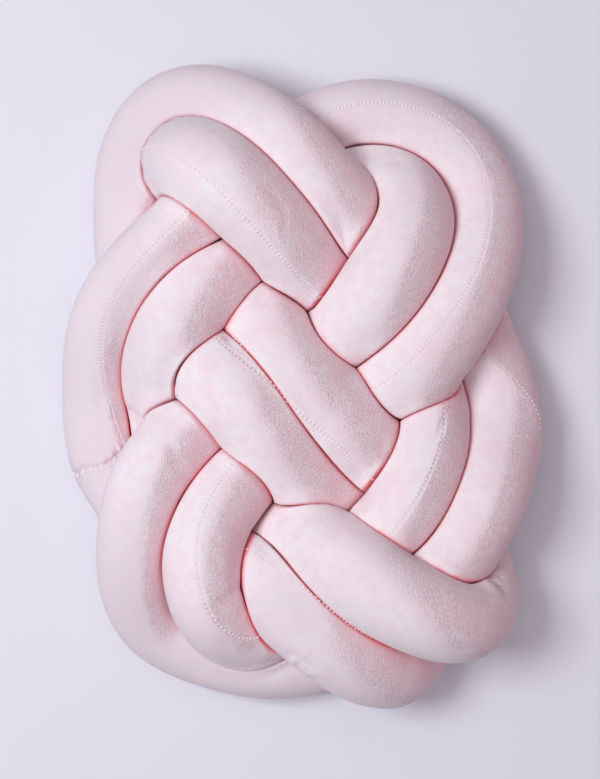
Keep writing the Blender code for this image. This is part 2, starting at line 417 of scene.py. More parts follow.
# %% Room round a ring
TUBE_RADIUS = 27.0 * MM
SKIN_GAP = 0.3 * MM             # air between two skins that press each other
THINNEST = 8.0 * MM
BEND_START = 30.0 * MM          # closer along the tube than this, it can't press itself
BEND_END = 70.0 * MM
SAME_SECTION = 6.0 * MM
NEIGHBOUR_REACH = 4.0 * TUBE_RADIUS
ROUTE_STEPS = 900
TINY = 1e-9


def room_around(points, places, directions):
    """How far each spoke may reach before it meets another pass."""
    route_place = np.arange(ROUTE_STEPS) * LENGTH / ROUTE_STEPS
    route_line = line_at(route_place)
    route_radius = TUBE_RADIUS * route_line[:, 3]
    own_radius = TUBE_RADIUS * line_at(places)[:, 3]
    room = np.empty(directions.shape[:2])
    for ring, centre in enumerate(points):
        offset = route_line[:, :3] - centre
        apart = np.abs(route_place - places[ring])
        apart = np.minimum(apart, LENGTH - apart)
        near = (np.linalg.norm(offset, axis=1) < NEIGHBOUR_REACH) & (apart > SAME_SECTION)
        offset = offset[near]
        passing = np.clip((apart[near] - BEND_START) / (BEND_END - BEND_START), 0.0, 1.0)
        gap = SKIN_GAP * passing
        fuller = (own_radius[ring] ** 2 - route_radius[near] ** 2) * passing
        square = np.maximum(np.sum(offset ** 2, axis=1) + fuller - gap ** 2, 0.0)
        toward = directions[ring] @ offset.T + gap
        meeting = square / (2.0 * np.maximum(toward, TINY))
        room[ring] = np.where(toward > TINY, meeting, np.inf).min(axis=1)
    return np.maximum(room, THINNEST)


print("tube", round(2.0 * TUBE_RADIUS / MM), "mm across where nothing presses it")

# %% Press and swell
EDGE_SHARPNESS = 36.0
SWELL_LIMIT = 1.05
PILE_FILL = 4.0 * MM            # how far soft cloth spreads where it almost touches another pass
PILE_EASE = 8.0 * MM


def soft_reach(radius, room):
    """The skin's distance from the middle: round, easing to flat where its room ends."""
    slack = np.maximum(room - radius[:, None], 0.0)
    full = radius[:, None] + PILE_FILL * np.exp(-slack / PILE_EASE)
    return full * (1.0 + (full / room) ** EDGE_SHARPNESS) ** (-1.0 / EDGE_SHARPNESS)


def pressed(points, places, directions):
    """Room of each spoke, and its reach after the stuffing has swelled to fill what is free."""
    room = room_around(points, places, directions)
    radius = TUBE_RADIUS * line_at(places)[:, 3]
    reach = soft_reach(radius, room)
    squeezed = radius / np.sqrt(np.mean(reach ** 2, axis=1))
    return room, soft_reach(radius * np.clip(squeezed, 1.0, SWELL_LIMIT), room)


print("a squeezed ring swells by", round((SWELL_LIMIT - 1.0) * 100), "% at most")

# %% [markdown]
# ## Spokes where they are needed
#
# A ring has only so many spokes. The seam is a narrow groove and the creases between two passes are
# sharper still, while the flat sides that press each other and the side that lies on the table are never
# seen. So each ring is looked round with even spokes first, and then its spokes are dealt out again:
# close together at the seam and at the creases, wide apart where nothing shows.

# %% Where spokes crowd
LOOKS = 60                      # even spokes of the first look round
CROWD_SEAM = 4.5
SEAM_BAND = 5.0 * MM
CROWD_CREASE = 2.6
CREASE_BAND = 0.10              # in tube radii, as the next two are
CREASE_LIFT = 0.05
PRESSED_FADE = 0.12
PRESSED_CROWD = 0.35
UNDERSIDE = (0.35, 0.4)         # how far down a spoke points when it starts to hide, and over what range
SEAM_FACES_UP = (-0.1, 0.5)     # how far up the seam faces when it starts to show, and over what range
CROWD_BLUR = 12.0 * MM
BLUR_RINGS = 8

side_direction = np.cross(along, seam_direction)


def bump(distance, width):
    """A smooth rise that is 1 in its middle."""
    return np.exp(-((distance / width) ** 2))


def spoke_directions(angles, forward, sideways):
    """Unit directions at angles round the tube from the seam."""
    return np.cos(angles)[..., None] * forward[:, None] + np.sin(angles)[..., None] * sideways[:, None]


def evened_along(values):
    """Values of each ring, blurred along the tube."""
    blurred = np.zeros_like(values)
    weight = np.zeros(RINGS)
    for shift in range(-BLUR_RINGS, BLUR_RINGS + 1):
        apart = np.abs(np.roll(place, shift) - place)
        share = bump(np.minimum(apart, LENGTH - apart), CROWD_BLUR)
        blurred += share[:, None] * np.roll(values, shift, axis=0)
        weight += share
    return blurred / weight[:, None]


def crowding():
    """How many more spokes than usual each direction of each ring asks for."""
    looks = np.broadcast_to(2.0 * math.pi * np.arange(LOOKS) / LOOKS, (RINGS, LOOKS))
    directions = spoke_directions(looks, seam_direction, side_direction)
    slack = room_around(middle, place, directions) / (TUBE_RADIUS * girth[:, None]) - 1.0
    crowd = 1.0 + CROWD_CREASE * bump(slack - CREASE_LIFT, CREASE_BAND)
    beneath = eased((-directions[:, :, 2] - UNDERSIDE[0]) / UNDERSIDE[1])
    crowd *= 1.0 - (1.0 - PRESSED_CROWD) * np.maximum(eased(-slack / PRESSED_FADE), beneath)
    seam_shows = eased((seam_direction[:, 2] - SEAM_FACES_UP[0]) / SEAM_FACES_UP[1])
    from_seam = np.minimum(looks, 2.0 * math.pi - looks) * TUBE_RADIUS
    crowd += CROWD_SEAM * seam_shows[:, None] * bump(from_seam, SEAM_BAND)
    return evened_along(crowd)


crowd = crowding()
print("spokes crowd up to", round(float(crowd.max() / crowd.min()), 1), "times closer")

# %% Deal out the spokes
SIDES = 72


def crowded_angles():
    """Angles of the spokes of each ring, close together where there is detail to show."""
    steps = np.arange(LOOKS + 1) * 2.0 * math.pi / LOOKS
    angles = np.empty((RINGS, SIDES))
    for ring in range(RINGS):
        ends = np.append(crowd[ring], crowd[ring][0])
        total = np.concatenate([[0.0], np.cumsum((ends[1:] + ends[:-1]) / 2.0)])
        angles[ring] = np.interp(np.arange(SIDES) * total[-1] / SIDES, total, steps)
    return angles


spoke_angle = crowded_angles()
spokes = spoke_directions(spoke_angle, seam_direction, side_direction)
room, reach = pressed(middle, place, spokes)
print("skin is", round(reach.min() / MM, 1), "to", round(reach.max() / MM, 1), "mm from the middle")

# %% [markdown]
# ## Cloth swollen by its stuffing
#
# The skin is flat cloth sewn to a tube. Bent round a corner it is stretched tight on the outside, and on
# the inside it has more length than it needs, so it settles into shallow ripples. That is left to cloth
# simulation. A coarser tube starts a little too thin in its pressed shape, and is told the lengths that it
# had when it lay nearly straight. Pressure swells it for twenty frames with gravity off, while each point
# is loosely held to its place, because the other passes of the knot would hold it there. Only how far the
# points moved out or in is kept, and no more than a few millimetres of that.

# %% The starting tube of cloth
CLOTH_RINGS = 720
CLOTH_SIDES = 36


def ring_mesh(name, points):
    """A closed tube of quads through points[ring, spoke]."""
    rings, sides = points.shape[:2]
    index = np.arange(rings * sides).reshape(rings, sides)
    ahead = np.roll(index, -1, axis=0)
    quads = np.stack([index, np.roll(index, -1, axis=1), np.roll(ahead, -1, axis=1), ahead], axis=-1)
    mesh = bpy.data.meshes.new(name)
    mesh.from_pydata(points.reshape(-1, 3), [], quads.reshape(-1, 4))
    mesh.update()
    return mesh


def between_rings(rows, places):
    """Values of each ring, read at any places along the tube."""
    wrapped = np.append(place, LENGTH)
    return np.column_stack([np.interp(places, wrapped, np.append(row, row[0])) for row in rows.T])


def frame_on(places):
    """Middle line and carried directions at any places along the tube."""
    alongs = unit(between_rings(along, places))
    crosses = between_rings(cross, places)
    crosses = unit(crosses - alongs * np.sum(crosses * alongs, axis=1, keepdims=True))
    return between_rings(middle, places), alongs, crosses


def straight_tube(girths, sides):
    """The same tube laid out as one wide ring, nearly straight."""
    turn = 2.0 * math.pi * np.arange(len(girths)) / len(girths)
    angles = 2.0 * math.pi * np.arange(sides) / sides
    wide = LENGTH / (2.0 * math.pi) + TUBE_RADIUS * girths[:, None] * np.cos(angles)
    high = TUBE_RADIUS * girths[:, None] * np.sin(angles)
    return np.stack([wide * np.cos(turn)[:, None], wide * np.sin(turn)[:, None], high], axis=-1)


print("the tube of cloth has", CLOTH_RINGS * CLOTH_SIDES, "points")

# %% Swell it under pressure
CLOTH_FRAMES = 20
CLOTH_PRESSURE = 6.0
CLOTH_HOLD = 0.02
CLOTH_QUALITY = 5
CLOTH_MASS = 0.3


def cloth_object(points, resting):
    """A tube of cloth in its pressed shape, which remembers the shape that it rests in."""
    cloth = bpy.data.objects.new("swelling_cloth", ring_mesh("swelling_cloth", points))
    bpy.context.scene.collection.objects.link(cloth)
    cloth.shape_key_add(name="pressed")
    lying = cloth.shape_key_add(name="straight")
    lying.data.foreach_set("co", resting.reshape(-1).astype(np.float32))
    held = cloth.vertex_groups.new(name="held")
    held.add(list(range(points.shape[0] * points.shape[1])), CLOTH_HOLD, "REPLACE")
    modifier = cloth.modifiers.new("Cloth", "CLOTH")
    settings = modifier.settings
    settings.quality = CLOTH_QUALITY
    settings.mass = CLOTH_MASS
    settings.use_pressure = True
    settings.uniform_pressure_force = CLOTH_PRESSURE
    settings.vertex_group_mass = held.name
    settings.rest_shape_key = lying
    settings.effector_weights.gravity = 0.0
    modifier.collision_settings.use_collision = False
    modifier.point_cache.frame_start = 1
    modifier.point_cache.frame_end = CLOTH_FRAMES
    return cloth


def simulated(points, resting):
    """Points of a tube of cloth after pressure has swelled it."""
    cloth = cloth_object(points, resting)
    for frame_number in range(1, CLOTH_FRAMES + 1):
        bpy.context.scene.frame_set(frame_number)
    swollen = cloth.evaluated_get(bpy.context.evaluated_depsgraph_get())
    moved = np.empty(points.size, dtype=np.float32)
    swollen.data.vertices.foreach_get("co", moved)
    mesh = cloth.data
    bpy.data.objects.remove(cloth)
    bpy.data.meshes.remove(mesh)
    bpy.context.scene.frame_set(1)
    return moved.reshape(points.shape).astype(float)


print("it swells for", CLOTH_FRAMES, "frames")

# %% Keep its moves out and in
CLOTH_START = 0.97
CLOTH_CAP = 5.0 * MM


def cloth_moves():
    """How far simulated cloth moves out from the middle, on an even grid of places and angles."""
    places = np.arange(CLOTH_RINGS) * LENGTH / CLOTH_RINGS
    centres, forward, up = frame_on(places)
    turn = 2.0 * math.pi * np.arange(CLOTH_SIDES) / CLOTH_SIDES
    angles = np.broadcast_to(turn, (CLOTH_RINGS, CLOTH_SIDES))
    directions = spoke_directions(angles, up, np.cross(forward, up))
    cloth_reach = pressed(centres, places, directions)[1]
    start = centres[:, None] + CLOTH_START * cloth_reach[:, :, None] * directions
    moved = simulated(start, straight_tube(line_at(places)[:, 3], CLOTH_SIDES)) - start
    moved -= moved.mean(axis=1, keepdims=True)
    return np.sum(moved * directions, axis=-1) - (1.0 - CLOTH_START) * cloth_reach


def spline_weights(part):
    """Weights of four neighbours on a grid, for a smooth value between the middle two."""
    rest = 1.0 - part
    second = 2 / 3 - part ** 2 * (1.0 + rest) / 2.0
    third = 2 / 3 - rest ** 2 * (1.0 + part) / 2.0
    return rest ** 3 / 6.0, second, third, part ** 3 / 6.0


def moves_at(grid, places, angles):
    """Smooth values of the grid at places along the tube and angles from the carried direction."""
    rows, columns = grid.shape
    row = np.mod(places, LENGTH)[:, None] * rows / LENGTH + np.zeros_like(angles)
    column = np.mod(angles, 2.0 * math.pi) * columns / (2.0 * math.pi)
    first_row, first_column = np.floor(row).astype(int), np.floor(column).astype(int)
    found = np.zeros_like(angles)
    for down, row_weight in zip(range(-1, 3), spline_weights(row - first_row)):
        near_row = (first_row + down) % rows
        for over, column_weight in zip(range(-1, 3), spline_weights(column - first_column)):
            found += row_weight * column_weight * grid[near_row, (first_column + over) % columns]
    return found


cloth_grid = cloth_moves()
cloth_grid -= cloth_grid.mean()
swell = moves_at(cloth_grid, place, spoke_angle + seam_turn[:, None])
swell = np.clip(swell, -CLOTH_CAP, CLOTH_CAP)
reach = np.minimum(reach + swell, room)
print("cloth moved", (np.percentile(swell, (1, 50, 99)) / MM).round(2), "mm")

# %% [markdown]
# ## The seam, the joint and the folds
#
# The cloth that is turned in at the long seam lifts it to a low ridge, and the stitches pull a fine groove
# along its top. At the joint the two ends of the tube are turned in and gathered on a wandering line, so
# short pleats run away from it. Each of these is a small number of millimetres that is taken off the reach
# of a spoke, or added to it, so the skin stays one smooth piece.

# %% Ridge and groove of the long seam
GROOVE_DEPTH = 0.45 * MM
GROOVE_WIDTH = 1.1 * MM
KEEL_HEIGHT = 2.2 * MM
KEEL_WIDTH = 13.0 * MM

seam_away = np.minimum(spoke_angle, 2.0 * math.pi - spoke_angle) * TUBE_RADIUS
reach = reach - GROOVE_DEPTH * bump(seam_away, GROOVE_WIDTH) + KEEL_HEIGHT * np.exp(-seam_away / KEEL_WIDTH)
print("seam ridge", round(KEEL_HEIGHT / MM, 1), "mm high")

# %% Gathers of the joint
JOINT_DEPTH = 2.6 * MM
JOINT_WIDTH = 2.0 * MM
JOINT_WAVES = ((1.6, 2.0, 0.6), (1.3, 5.0, 2.0))    # height in mm, waves in a turn, and where they start
PLEATS = 23
PLEAT_SHIFT = (1.4, 3.0)        # how unevenly the pleats lie, and how often that repeats in a turn
PLEAT_DEPTH = 1.1 * MM
PLEAT_LENGTH = 7.0 * MM
PLEAT_GAP = 0.7 * MM


def joint_wander(angles):
    """How far the joint strays along the tube, at angles round it."""
    return sum(height * np.sin(waves * angles + start) for height, waves, start in JOINT_WAVES) * MM


def past_joint(places):
    """How far along the tube from the joint, forwards or back."""
    return np.mod(places - JOINT_PLACE + LENGTH / 2.0, LENGTH) - LENGTH / 2.0


def joint_dip(places, angles):
    """How far the gathered joint pulls the skin in."""
    away = past_joint(places)[:, None] - joint_wander(angles)
    pleats = np.sin(PLEATS * angles + PLEAT_SHIFT[0] * np.sin(PLEAT_SHIFT[1] * angles)) * PLEAT_DEPTH
    pleats = pleats * bump(away, PLEAT_LENGTH) * (1.0 - bump(away, PLEAT_GAP))
    return JOINT_DEPTH * bump(away, JOINT_WIDTH) - pleats


reach = reach - joint_dip(place, spoke_angle)
print("joint with", PLEATS, "pleats")

# %% Folds
FOLD_ENDS = (0.04, 0.92)        # a fold's depth follows this part of half a wave


def near_path(points, path, width):
    """From 1 on a path, as seen from above, to 0 away from it, and shallower at its ends."""
    corners = np.array(path) * MM
    legs = np.diff(corners, axis=0)
    leg_length = np.linalg.norm(legs, axis=1)
    leg_start = np.concatenate([[0.0], np.cumsum(leg_length)])
    strongest = np.zeros(points.shape[:2])
    for corner, leg, length, start in zip(corners, legs, leg_length, leg_start):
        offset = points[:, :, :2] - corner
        share = np.clip(offset @ leg / length ** 2, 0.0, 1.0)
        away = np.linalg.norm(offset - share[..., None] * leg, axis=-1)
        way = (start + share * length) / leg_start[-1]
        depth = np.sqrt(np.sin(math.pi * (FOLD_ENDS[0] + FOLD_ENDS[1] * way)))
        strongest = np.maximum(strongest, bump(away, width * MM) * depth)
    return strongest


def fold_dip(points):
    """How far the folds press the skin in, at points on its upper side."""
    dip = np.zeros(points.shape[:2])
    upper = points[:, :, 2] > middle[:, None, 2]
    for name, width, depth, path in FOLDS:
        dip += depth * MM * near_path(points, path, width) * (upper & on_stretch(name, place)[:, None])
    return dip


folded = fold_dip(middle[:, None] + reach[:, :, None] * spokes)
reach = np.minimum(reach - folded, room)
print("deepest fold", round(float(folded.max()) / MM, 1), "mm")

# %% [markdown]
# ## The mesh of the cushion
#
# Rings and spokes become one closed mesh: each ring is joined to the next, and the last to the first. Its
# map runs along the tube and around it in metres, from the seam, so that sewing and pile can follow the
# fabric wherever the tube goes.

# %% Skin mesh
TUBE_NAME = "velvet_tube"

points = middle[:, None] + reach[:, :, None] * spokes
points[:, :, 2] = np.maximum(points[:, :, 2], 0.0)      # pressed flat on the surface that it lies on
skin_mesh = ring_mesh(TUBE_NAME, points)
skin_mesh.shade_smooth()
velvet_tube = bpy.data.objects.new(TUBE_NAME, skin_mesh)
bpy.context.scene.collection.objects.link(velvet_tube)
print(TUBE_NAME, len(skin_mesh.polygons), "faces")

# %% Map along the tube
def map_strand(mesh):
    """Map of each corner: metres along the tube, and around it from the seam on either side."""
    wrap_width = 2.0 * math.pi * TUBE_RADIUS
    around = spoke_angle * TUBE_RADIUS
    ahead = np.append(place[1:], LENGTH)
    columns = (place, place, ahead, ahead)
    u = np.stack([np.broadcast_to(column[:, None], (RINGS, SIDES)) for column in columns], axis=-1)
    far = np.arange(SIDES) >= SIDES // 2
    start = around - wrap_width * far
    end = np.column_stack([around[:, 1:], np.full(RINGS, wrap_width)]) - wrap_width * far
    v = np.stack([start, end, np.roll(end, -1, axis=0), np.roll(start, -1, axis=0)], axis=-1)
    layer = mesh.uv_layers.new(name="strand")
    layer.data.foreach_set("uv", np.stack([u, v], axis=-1).reshape(-1).astype(np.float32))
    return layer.name


print("map", map_strand(skin_mesh))

# %% [markdown]
# ## The lie of the pile, and painted shade
#
# Velvet shows how its pile lies. Its pile here was brushed one way, so the sides that face the other way
# show their darker roots; they are also the sides away from the window, and their deeper tone is partly
# painted shade. The rim of the cushion, the cloth near the joint and two spots are a little greyer, as
# painted shade. Where two passes nearly touch, the colour is painted a deep rose, for the shade and the
# bounced light there. Each of these is worked out from the shape and stored on its points, for the velvet
# to read.

# %% Masks for the pile
CREASE_REACH = 9.0 * MM
NAP_AWAY = np.array((0.93, -0.03, 0.28))    # cloth that faces this way shows its roots, and is painted in shade as it faces away from the window
NAP_START = 0.18
NAP_RANGE = 0.81
NAP_CURVE = 1.2
NO_AREA = 1e-15                 # keeps a face without area from dividing by nothing
RIM_SHIFT = 20.0 * MM
RIM_X = 186.0 * MM
RIM_Y = 229.0 * MM
RIM_START = 0.72                # in rim radii, as the next is
RIM_RANGE = 0.30
JOINT_SHADE_REACH = 60.0 * MM             # along the tube, how far from the joint shade is painted
SHADED_SPOTS = (                # centre x and y, half width, half height in mm, and strength
    (-122, 50, 22, 60, 1.0),    # the left passes, near the joint
    (-10, -148, 34, 26, 0.9),   # the start of the lower diagonal
)


def point_values(mesh, name, values):
    """Store one number for each point of a mesh, for its material to read."""
    layer = mesh.attributes.new(name=name, type="FLOAT", domain="POINT")
    layer.data.foreach_set("value", values.reshape(-1).astype(np.float32))
    print(name, "from", round(float(values.min()), 2), "to", round(float(values.max()), 2))


def away_from_brush_and_light():
    """How far each point of the skin faces away from the brushed pile and from the window light, where shade
    is painted.
    """
    ahead = np.roll(points, -1, axis=0) - np.roll(points, 1, axis=0)
    round_it = np.roll(points, -1, axis=1) - np.roll(points, 1, axis=1)
    outward = unit(np.cross(round_it, ahead) + NO_AREA)
    outward *= np.sign(np.sum(outward * spokes))
    return eased((outward @ NAP_AWAY - NAP_START) / NAP_RANGE) ** NAP_CURVE


def shade_at_rim_joint_and_spots():
    """How much shade is painted on each point of the skin: at the rim, near the joint and at two spots."""
    outside = np.hypot((points[:, :, 0] - RIM_SHIFT) / RIM_X, points[:, :, 1] / RIM_Y)
    near_joint = np.exp(-((past_joint(place) / JOINT_SHADE_REACH) ** 2))[:, None]
    unshaded = 1.0 - np.maximum(eased((outside - RIM_START) / RIM_RANGE), near_joint)
    for x, y, half_width, half_height, strength in SHADED_SPOTS:
        across, up = (points[:, :, 0] / MM - x) / half_width, (points[:, :, 1] / MM - y) / half_height
        unshaded *= 1.0 - strength * np.exp(-(across ** 2 + up ** 2))
    return 1.0 - unshaded


nap_and_shade = away_from_brush_and_light()
# how near another pass is; the velvet paints shade and bounced light from it
point_values(skin_mesh, "crease", np.exp(-np.maximum(room - reach, 0.0) / CREASE_REACH))
point_values(skin_mesh, "nap_and_shade", nap_and_shade)
# painted shade at the rim, near the joint and at two spots, less where the nap deepens the pink
point_values(skin_mesh, "greyer_shade", shade_at_rim_joint_and_spots() * (1.0 - nap_and_shade))

# %% [markdown]
# ## Stitches
#
# The seam is sewn by machine, about ten stitches to the inch. Each is a short bulge of thread that dives
# into the cloth at both ends. One is shaped from a sphere, and its copies lie in the groove end to end.

# %% One stitch
STITCH_DIVE = 1.0               # how much of its height a stitch loses towards its ends, in its own size


def model_stitch():
    """Points and faces of one stitch of length, width and height 1, along x."""
    bpy.ops.object.select_all(action="DESELECT")
    along_x = (0.0, math.pi / 2.0, 0.0)
    bpy.ops.mesh.primitive_uv_sphere_add(segments=8, ring_count=4, radius=0.5, rotation=along_x)
    stitch = bpy.context.object
    bpy.ops.object.transform_apply(location=False, rotation=True, scale=False)
    bpy.ops.object.mode_set(mode="EDIT")
    bpy.ops.mesh.select_all(action="SELECT")
    bpy.ops.mesh.normals_make_consistent(inside=False)
    bpy.ops.object.mode_set(mode="OBJECT")
    corners = np.array([vertex.co for vertex in stitch.data.vertices])
    corners[:, 2] -= STITCH_DIVE * corners[:, 0] ** 2
    faces = sorted(tuple(face.vertices) for face in stitch.data.polygons)   # a sphere's own order varies
    bpy.data.objects.remove(stitch)
    return corners, faces


stitch_corners, stitch_faces = model_stitch()
print("one stitch has", len(stitch_faces), "faces")

# %% Lay many stitches
def lay_stitches(name, centres, lengthwise, upward, sizes):
    """One mesh of many stitches, each with its own place, directions and size."""
    sideways = np.cross(upward, lengthwise)
    axes = np.stack([lengthwise, sideways, upward], axis=1)
    placed = np.einsum("vk,nk,nkj->nvj", stitch_corners, sizes, axes) + centres[:, None]
    placed[:, :, 2] = np.maximum(placed[:, :, 2], 0.0)
    every_face = []
    for copy in range(len(centres)):
        first = copy * len(stitch_corners)
        every_face += [tuple(corner + first for corner in face) for face in stitch_faces]
    mesh = bpy.data.meshes.new(name)
    mesh.from_pydata(placed.reshape(-1, 3), [], every_face)
    mesh.shade_smooth()
    mesh.update()
    piece = bpy.data.objects.new(name, mesh)
    bpy.context.scene.collection.objects.link(piece)
    print(name, len(centres), "stitches,", len(every_face), "faces")
    return piece


def skin_at(places, angles):
    """Points of the finished skin at places along the tube and angles round it."""
    ring = np.interp(np.mod(places, LENGTH), np.append(place, LENGTH), np.arange(RINGS + 1))
    low = ring.astype(int) % RINGS
    high = (low + 1) % RINGS
    share = (ring - np.floor(ring))[:, None]
    found = []
    for row in (low, high):
        spoke = np.array([
            np.interp(angle, np.append(spoke_angle[r], 2.0 * math.pi), np.arange(SIDES + 1))
            for r, angle in zip(row, np.mod(angles, 2.0 * math.pi))
        ])
        first = spoke.astype(int) % SIDES
        part = (spoke - np.floor(spoke))[:, None]
        found.append(points[row, first] * (1.0 - part) + points[row, (first + 1) % SIDES] * part)
    return found[0] * (1.0 - share) + found[1] * share


def directions_at(places, angles, step_along, step_round):
    """Centre, lengthwise direction and upward direction of stitches that lie on the skin."""
    centre = skin_at(places, angles)
    ahead = skin_at(places + step_along, angles + step_round)
    lengthwise = unit(ahead - skin_at(places - step_along, angles - step_round))
    outward = unit(centre - line_at(places)[:, :3])
    upward = unit(outward - lengthwise * np.sum(outward * lengthwise, axis=1)[:, None])
    return centre, lengthwise, upward


print("the seam starts at", (skin_at(place[:1], np.zeros(1))[0] / MM).round(1), "mm")

# %% Stitches of the long seam
STITCH_PITCH = 2.4 * MM
STITCH_LENGTH = 1.9 * MM
STITCH_WIDTH = 0.95 * MM
STITCH_HEIGHT = 0.9             # in widths
STITCH_LIFT = 0.22 * MM
STITCH_SWAY = 0.25 * MM
STITCH_LENGTHS = (0.88, 1.08)   # shortest and longest, in stitch lengths
STITCH_WIDTHS = (0.85, 1.15)    # thinnest and thickest, in stitch widths
STITCH_STEP = 1.0 * MM          # how far ahead and behind the direction of a stitch is looked up
SEAM_STOP = 2.0 * MM            # the machine stitches end this far from the joint
SEAM_SEED = 11

seam_count = int(round(LENGTH / STITCH_PITCH))
stitch_place = (np.arange(seam_count) + 0.5) * LENGTH / seam_count
stitch_place = stitch_place[np.abs(past_joint(stitch_place)) > SEAM_STOP]
stitch_count = len(stitch_place)
rng = np.random.default_rng(SEAM_SEED)
sway = rng.normal(0.0, STITCH_SWAY / TUBE_RADIUS, stitch_count)
centre, lengthwise, upward = directions_at(stitch_place, sway, STITCH_STEP, 0.0)
stitch_size = np.column_stack([
    STITCH_LENGTH * rng.uniform(*STITCH_LENGTHS, stitch_count),
    STITCH_WIDTH * rng.uniform(*STITCH_WIDTHS, stitch_count),
    np.full(stitch_count, STITCH_HEIGHT * STITCH_WIDTH),
])
seam_stitches = lay_stitches("seam_stitches", centre + STITCH_LIFT * upward, lengthwise, upward, stitch_size)

# %% [markdown]
# ## Hand stitches at the joint
#
# The joint is closed by hand after stuffing, from the outside. The thread goes back and forth across the
# line, some stitches slanting and some lying along it, none quite like the next.

# %% Stitches of the joint
HAND_STITCHES = 30
HAND_LENGTH = (3.4, 5.6)        # shortest and longest, mm
HAND_WIDTH = (0.7, 0.95)
HAND_HEIGHT = 1.2 * MM
HAND_LIFT = 0.5 * MM
HAND_STEP = 1.2 * MM
HAND_STRAY = 0.6                # mm along the tube, either way
HAND_SPREAD = 0.25              # in the pitch of the stitches, either way
HAND_SLANT = (20.0, 80.0)       # degrees from the line of the joint
HAND_FLAT = 0.15                # every third stitch lies nearly along the line
HAND_SEED = 5

hand = np.random.default_rng(HAND_SEED)
hand_number = np.arange(HAND_STITCHES)
spread = hand.uniform(-HAND_SPREAD, HAND_SPREAD, HAND_STITCHES)
hand_angle = (hand_number + spread) * 2.0 * math.pi / HAND_STITCHES
stray = hand.uniform(-HAND_STRAY, HAND_STRAY, HAND_STITCHES) * MM
hand_place = JOINT_PLACE + joint_wander(hand_angle) + stray
hand_slant = np.radians(hand.uniform(*HAND_SLANT, HAND_STITCHES)) * np.where(hand_number % 3, 1.0, HAND_FLAT)
centre, lengthwise, upward = directions_at(
    hand_place, hand_angle, HAND_STEP * np.sin(hand_slant), HAND_STEP * np.cos(hand_slant) / TUBE_RADIUS
)
hand_size = np.column_stack([
    hand.uniform(*HAND_LENGTH, HAND_STITCHES) * MM,
    hand.uniform(*HAND_WIDTH, HAND_STITCHES) * MM,
    np.full(HAND_STITCHES, HAND_HEIGHT),
])
joint_stitches = lay_stitches("joint_stitches", centre + HAND_LIFT * upward, lengthwise, upward, hand_size)

# %% [markdown]
# ## A shared finish: uneven dye
#
# No dyed cloth or thread is one even colour. A small node group gives a slow drift from place to place and
# a fine speckle. Velvet and thread both use it, each at its own scale.

# %% Node group for uneven dye
NOISE_DETAIL = 3.0
NOISE_ROUGHNESS = 0.65


def uneven_dye():
    """Node group: drift and speckle masks, from 0 to 1, at two sizes."""
    group = bpy.data.node_groups.new("uneven_dye", "ShaderNodeTree")
    for socket, default in (("Drift Scale", 30.0), ("Speckle Scale", 500.0)):
        made = group.interface.new_socket(socket, in_out="INPUT", socket_type="NodeSocketFloat")
        made.default_value = default
    for socket in ("Drift", "Speckle"):
        group.interface.new_socket(socket, in_out="OUTPUT", socket_type="NodeSocketFloat")
    entry = group.nodes.new("NodeGroupInput")
    leave = group.nodes.new("NodeGroupOutput")
    position = group.nodes.new("ShaderNodeTexCoord")
    for name in ("Drift", "Speckle"):
        noise = group.nodes.new("ShaderNodeTexNoise")
        noise.inputs["Detail"].default_value = NOISE_DETAIL
        noise.inputs["Roughness"].default_value = NOISE_ROUGHNESS
        group.links.new(position.outputs["Object"], noise.inputs["Vector"])
        group.links.new(entry.outputs[name + " Scale"], noise.inputs["Scale"])
        group.links.new(noise.outputs["Fac"], leave.inputs[name])
    return group


dye = uneven_dye()
print("node group", dye.name)

# %% [markdown]
# ## Velvet
#
# Velvet is a dense short pile. Seen along the pile it is pale and soft, across it deeper, so the cloth that
# faces away from the brush is a deeper pink; that side also faces away from the window, and its pink is
# partly painted shade. There every tuft shows: dark roots, pale tips and frosted patches, partly painted
# shade and painted highlight where the light grazes. A slow drift and a mottle keep the rest from being one
# even colour. In the creases the colour is painted for light that bounces between pink walls and turns a
# strong rose, with a thin line of red painted shade where two passes meet, and paler painted light deep in
# a crease on the side that faces the window. The greyer rim, joint and two spots are painted shade. Drift,
# mottle and grain are noise on the object, the masks come from the shape, and the sheen is set on the shader.

# %% Helpers for nodes
def put_in(tree, socket, value):
    """Give an input a number or a colour, or link it to an output."""
    if isinstance(value, (int, float, tuple)):
        socket.default_value = value
    else:
        tree.links.new(value, socket)


def math_node(tree, operation, *values):
    """Output of a Math node fed with sockets or numbers."""
    made = tree.nodes.new("ShaderNodeMath")
    made.operation = operation
    for socket, value in zip(made.inputs, values):
        put_in(tree, socket, value)
    return made.outputs[0]


def product(tree, first, *others):
    """Sockets or numbers multiplied with each other, one after another."""
    for other in others:
        first = math_node(tree, "MULTIPLY", first, other)
    return first


def mixed_colour(tree, factor, first, second):
    """Output of a Mix node between two colours, each a socket or a value."""
    made = tree.nodes.new("ShaderNodeMix")
    made.data_type = "RGBA"
    for slot, value in ((0, factor), (6, first), (7, second)):
        put_in(tree, made.inputs[slot], value)
    return made.outputs[2]


def remapped(tree, value, low, high, to_low=0.0, to_high=1.0):
    """A value moved from one range to another, and held inside it."""
    made = tree.nodes.new("ShaderNodeMapRange")
    tree.links.new(value, made.inputs["Value"])
    made.inputs["From Min"].default_value = low
    made.inputs["From Max"].default_value = high
    made.inputs["To Min"].default_value = to_low
    made.inputs["To Max"].default_value = to_high
    return made.outputs["Result"]


def stored(tree, name):
    """A number that is stored on the points of the mesh."""
    made = tree.nodes.new("ShaderNodeAttribute")
    made.attribute_name = name
    return made.outputs["Fac"]


def dyed(tree, drift_scale, speckle_scale):
    """Drift and speckle of the uneven dye, at these scales."""
    made = tree.nodes.new("ShaderNodeGroup")
    made.node_tree = dye
    made.inputs["Drift Scale"].default_value = drift_scale
    made.inputs["Speckle Scale"].default_value = speckle_scale
    return made.outputs["Drift"], made.outputs["Speckle"]


